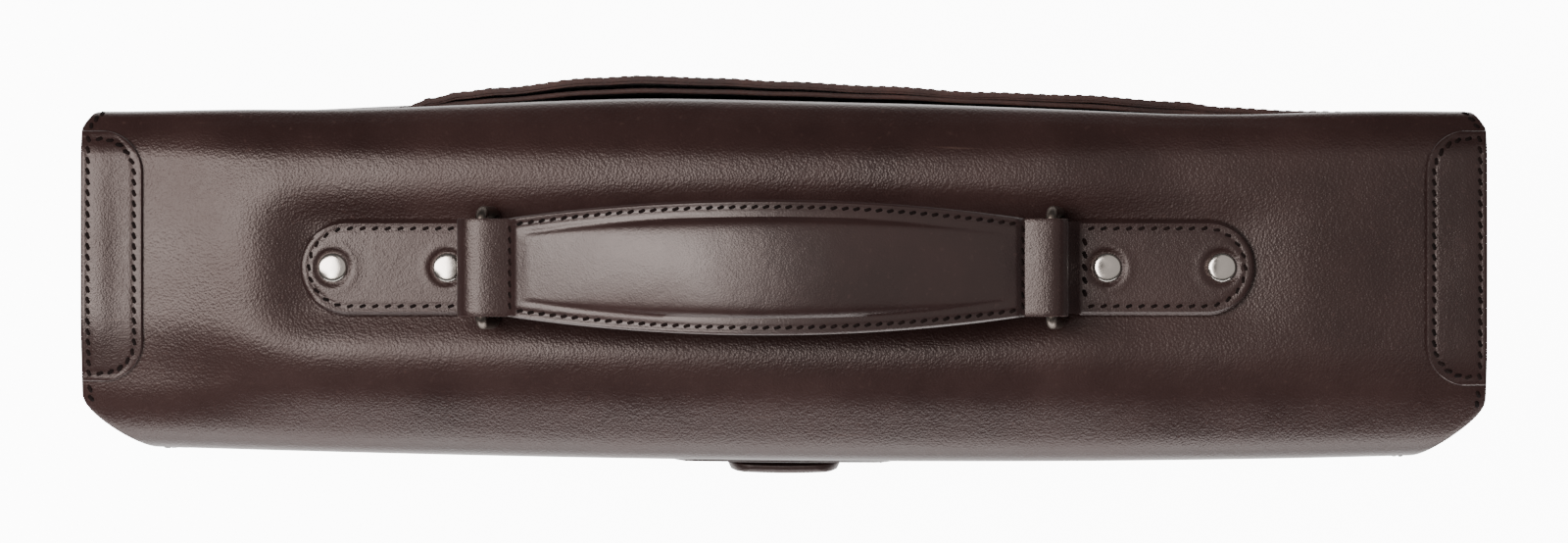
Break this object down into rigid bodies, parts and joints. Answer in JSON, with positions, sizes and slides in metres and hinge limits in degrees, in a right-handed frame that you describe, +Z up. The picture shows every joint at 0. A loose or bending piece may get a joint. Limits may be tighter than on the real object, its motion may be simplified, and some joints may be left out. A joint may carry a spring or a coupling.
{
  "type": "leather briefcase",
  "caption": "Leather flap-over briefcase with a padded carrying handle on wire rings, a push lock, open pockets front and back and a divided interior.",
  "frame": {"origin": "centre of the footprint, on the surface that the feet stand on", "axes": "+X along the width of the case, -Y out of the front with the lock, +Z up"},
  "size_m": [0.41, 0.1202, 0.3421],
  "materials": {
    "leather": "smooth dark brown with a soft sheen",
    "leather_trim": "smooth dark brown, burnished cut edges",
    "lining": "brown suede",
    "board": "pressed fibreboard",
    "nickel": "polished nickel plate",
    "steel": "plain steel"
  },
  "bodies": {
    "case": {"base_panel": "leather", "base_board": "board", "base_feet": "nickel", "back_panel": "leather", "front_panel": "leather", "gusset_left": "leather", "gusset_right": "leather", "divider": "lining", "front_pocket": "leather", "back_pocket": "leather", "lock_stud_plate": "nickel"},
    "flap_top": {"flap_top": "leather", "flap_top_lining": "lining", "end_patch_left": "leather_trim", "end_patch_right": "leather_trim", "ear_left": "leather_trim", "ear_right": "leather_trim", "handle_bar": "steel", "tab_left": "leather_trim", "tab_right": "leather_trim", "rivets_left": "nickel", "rivets_right": "nickel", "rivet_washers": "steel"},
    "flap_front": {"flap_front": "leather", "flap_front_lining": "lining", "lock_patch": "leather_trim", "lock_strap": "leather_trim", "lock_housing": "nickel", "lock_plate": "nickel", "lock_spring": "steel"},
    "ring_left": {"ring_left": "nickel"},
    "ring_right": {"ring_right": "nickel"},
    "handle": {"handle_strap": "leather_trim", "handle_pad": "leather_trim", "handle_core": "steel"},
    "lock_button": {"lock_button": "nickel"},
    "lock_catch": {"lock_catch": "steel"}
  },
  "joints": [
    {"name": "flap_hinge", "type": "hinge", "parent": "case", "child": "flap_top", "pos_m": [0, 0.0524, 0.28985], "axis": [-1, 0, 0], "range_deg": [0, 180]},
    {"name": "flap_front_fold", "type": "hinge", "parent": "flap_top", "child": "flap_front", "pos_m": [0, -0.0524, 0.27985], "axis": [-1, 0, 0], "range_deg": [0, 120]},
    {"name": "ring_left_swing", "type": "hinge", "parent": "flap_top", "child": "ring_left", "pos_m": [-0.0842, 0.002, 0.3044], "axis": [0, -1, 0], "range_deg": [-73, 47]},
    {"name": "ring_right_swing", "type": "hinge", "parent": "flap_top", "child": "ring_right", "pos_m": [0.0802, 0.002, 0.3044], "axis": [0, -1, 0], "range_deg": [-73, 47]},
    {"name": "handle_pivot", "type": "hinge", "parent": "ring_left", "child": "handle", "pos_m": [-0.08735, 0.002, 0.31804], "axis": [0, -1, 0], "range_deg": [-47, 73]},
    {"name": "lock_button_press", "type": "slide", "parent": "flap_front", "child": "lock_button", "axis": [0, 1, 0], "range_m": [0, 0.0014], "stiffness_N_per_m": 400},
    {"name": "lock_catch_lift", "type": "slide", "parent": "flap_front", "child": "lock_catch", "axis": [0, 0, 1], "range_m": [0, 0.0042]}
  ],
  "couplings": [
    {"joint": "ring_right_swing", "follows": "ring_left_swing", "ratio": 1},
    {"joint": "handle_pivot", "follows": "ring_left_swing", "ratio": -1},
    {"joint": "lock_catch_lift", "follows": "lock_button_press", "ratio": 3}
  ]
}
